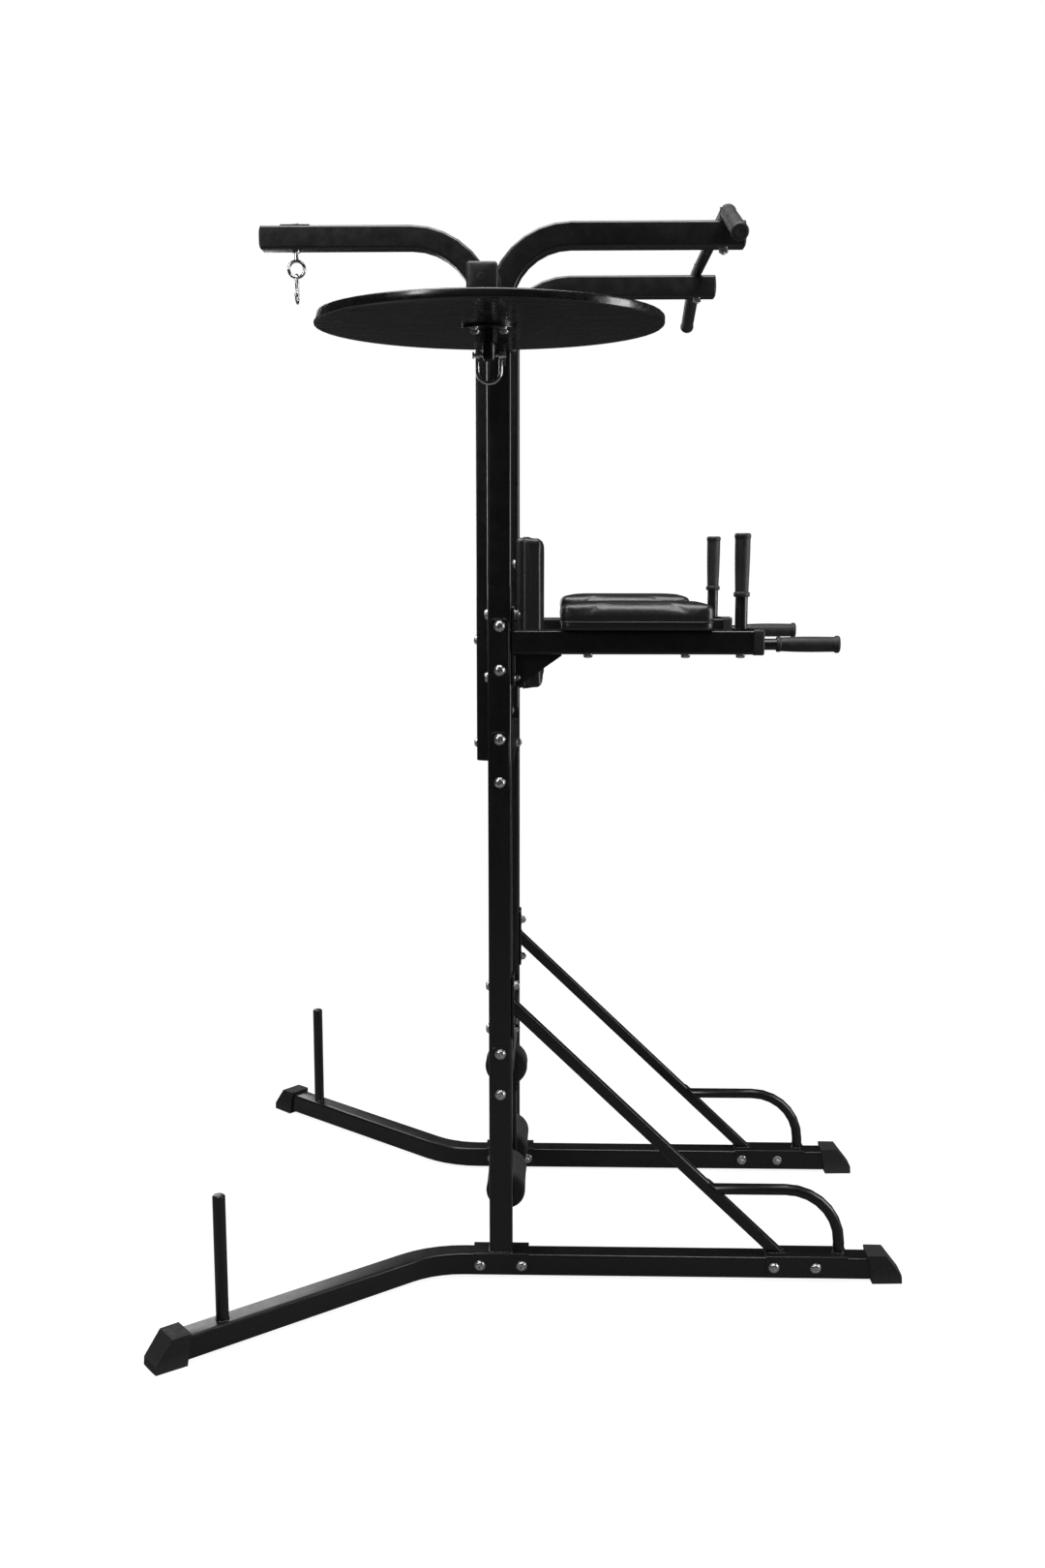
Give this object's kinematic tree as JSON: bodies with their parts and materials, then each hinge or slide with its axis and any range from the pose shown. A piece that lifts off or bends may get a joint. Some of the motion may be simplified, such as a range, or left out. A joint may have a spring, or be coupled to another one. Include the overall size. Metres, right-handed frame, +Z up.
{
  "type": "power tower",
  "caption": "Steel power tower with a pull-up bar, padded dip arms and back pad, heavy-bag arm, speed-ball platform, push-up handles, weight pegs and leg rollers.",
  "frame": {"origin": "on the floor, under the middle of the tower's bounding box", "axes": "+Z up; +X towards the dip arms and the pull-up bar; -Y towards the speed-ball platform"},
  "size_m": [1.573, 1.7964, 2.3043],
  "materials": {
    "frame_black": "satin black powder coat",
    "foot_rubber": "matt moulded rubber",
    "cap_plastic": "fine-grained moulded plastic",
    "bolt_zinc": "bright zinc plate",
    "fitting_chrome": "polished plate",
    "grip_rubber": "soft matt rubber",
    "roller_foam": "fine-celled foam with a skin",
    "pad_vinyl": "black vinyl with a fine grain and a welt",
    "board_black": "black gloss laminate"
  },
  "bodies": {
    "root": {"arm_pad_far": "pad_vinyl", "arm_pad_near": "pad_vinyl", "back_pad": "pad_vinyl", "bag_arm": "frame_black", "bag_arm_cap": "cap_plastic", "bag_upright_cap": "cap_plastic", "bar_grip_far": "grip_rubber", "bar_grip_near": "grip_rubber", "base_rail_far": "frame_black", "base_rail_near": "frame_black", "brace_frame_far": "frame_black", "brace_frame_near": "frame_black", "cross_bolts_lower_far": "bolt_zinc", "cross_bolts_lower_near": "bolt_zinc", "cross_bolts_middle_far": "bolt_zinc", "cross_bolts_middle_near": "bolt_zinc", "cross_bolts_upper_far": "bolt_zinc", "cross_bolts_upper_near": "bolt_zinc", "crossbeam_lower": "frame_black", "crossbeam_middle": "frame_black", "crossbeam_upper": "frame_black", "dip_arm_far": "frame_black", "dip_arm_near": "frame_black", "eye_bolt": "fitting_chrome", "foot_cap_front_far": "foot_rubber", "foot_cap_front_near": "foot_rubber", "foot_cap_rear_far": "foot_rubber", "foot_cap_rear_near": "foot_rubber", "forward_grip_far": "grip_rubber", "forward_grip_near": "grip_rubber", "forward_handle_far": "frame_black", "forward_handle_near": "frame_black", "leg_hold_post": "frame_black", "lower_post_far": "frame_black", "lower_post_near": "frame_black", "mid_post_far": "frame_black", "mid_post_near": "frame_black", "platform_arm": "frame_black", "platform_arm_cap": "cap_plastic", "platform_board": "board_black", "pull_up_arm_cap_far": "cap_plastic", "pull_up_arm_cap_near": "cap_plastic", "pull_up_arm_far": "frame_black", "pull_up_arm_near": "frame_black", "pull_up_bar": "frame_black", "swivel_flange": "frame_black", "upper_post_far": "frame_black", "upper_post_near": "frame_black", "vertical_grip_far": "grip_rubber", "vertical_grip_near": "grip_rubber", "vertical_handle_far": "frame_black", "vertical_handle_near": "frame_black"},
    "swivel": {"swivel_body": "frame_black", "shackle_pin": "bolt_zinc"},
    "shackle": {"shackle": "fitting_chrome"},
    "hook": {"snap_hook": "fitting_chrome"},
    "gate": {"hook_gate": "fitting_chrome"},
    "near_roller": {"leg_roller_near": "roller_foam"},
    "far_roller": {"leg_roller_far": "roller_foam"},
    "knee_roller": {"knee_roller": "roller_foam"}
  },
  "joints": [
    {"name": "swivel_spin", "type": "hinge", "parent": "root", "child": "swivel", "pos_m": [-0.0952, -0.5937, 1.925], "axis": [0, 0, 1], "continuous": true},
    {"name": "shackle_swing", "type": "hinge", "parent": "swivel", "child": "shackle", "pos_m": [-0.0952, -0.5937, 1.925], "axis": [1, 0, 0], "range_deg": [-100, 100]},
    {"name": "hook_swing", "type": "hinge", "parent": "root", "child": "hook", "pos_m": [-0.5552, 0.1533, 2.1865], "axis": [1, 0, 0], "range_deg": [-80, 80]},
    {"name": "gate_swing", "type": "hinge", "parent": "hook", "child": "gate", "pos_m": [-0.5552, 0.1423, 2.1515], "axis": [-1, 0, 0], "range_deg": [0, 22], "stiffness_Nm_per_rad": 0.01, "springref_deg": -11.46},
    {"name": "near_roller_spin", "type": "hinge", "parent": "root", "child": "near_roller", "pos_m": [-0.0892, 0.0358, 0.145], "axis": [0, 1, 0], "continuous": true},
    {"name": "far_roller_spin", "type": "hinge", "parent": "root", "child": "far_roller", "pos_m": [-0.0892, 0.2708, 0.145], "axis": [0, 1, 0], "continuous": true},
    {"name": "knee_roller_spin", "type": "hinge", "parent": "root", "child": "knee_roller", "pos_m": [-0.0932, 0.1533, 0.383], "axis": [0, 1, 0], "continuous": true}
  ]
}
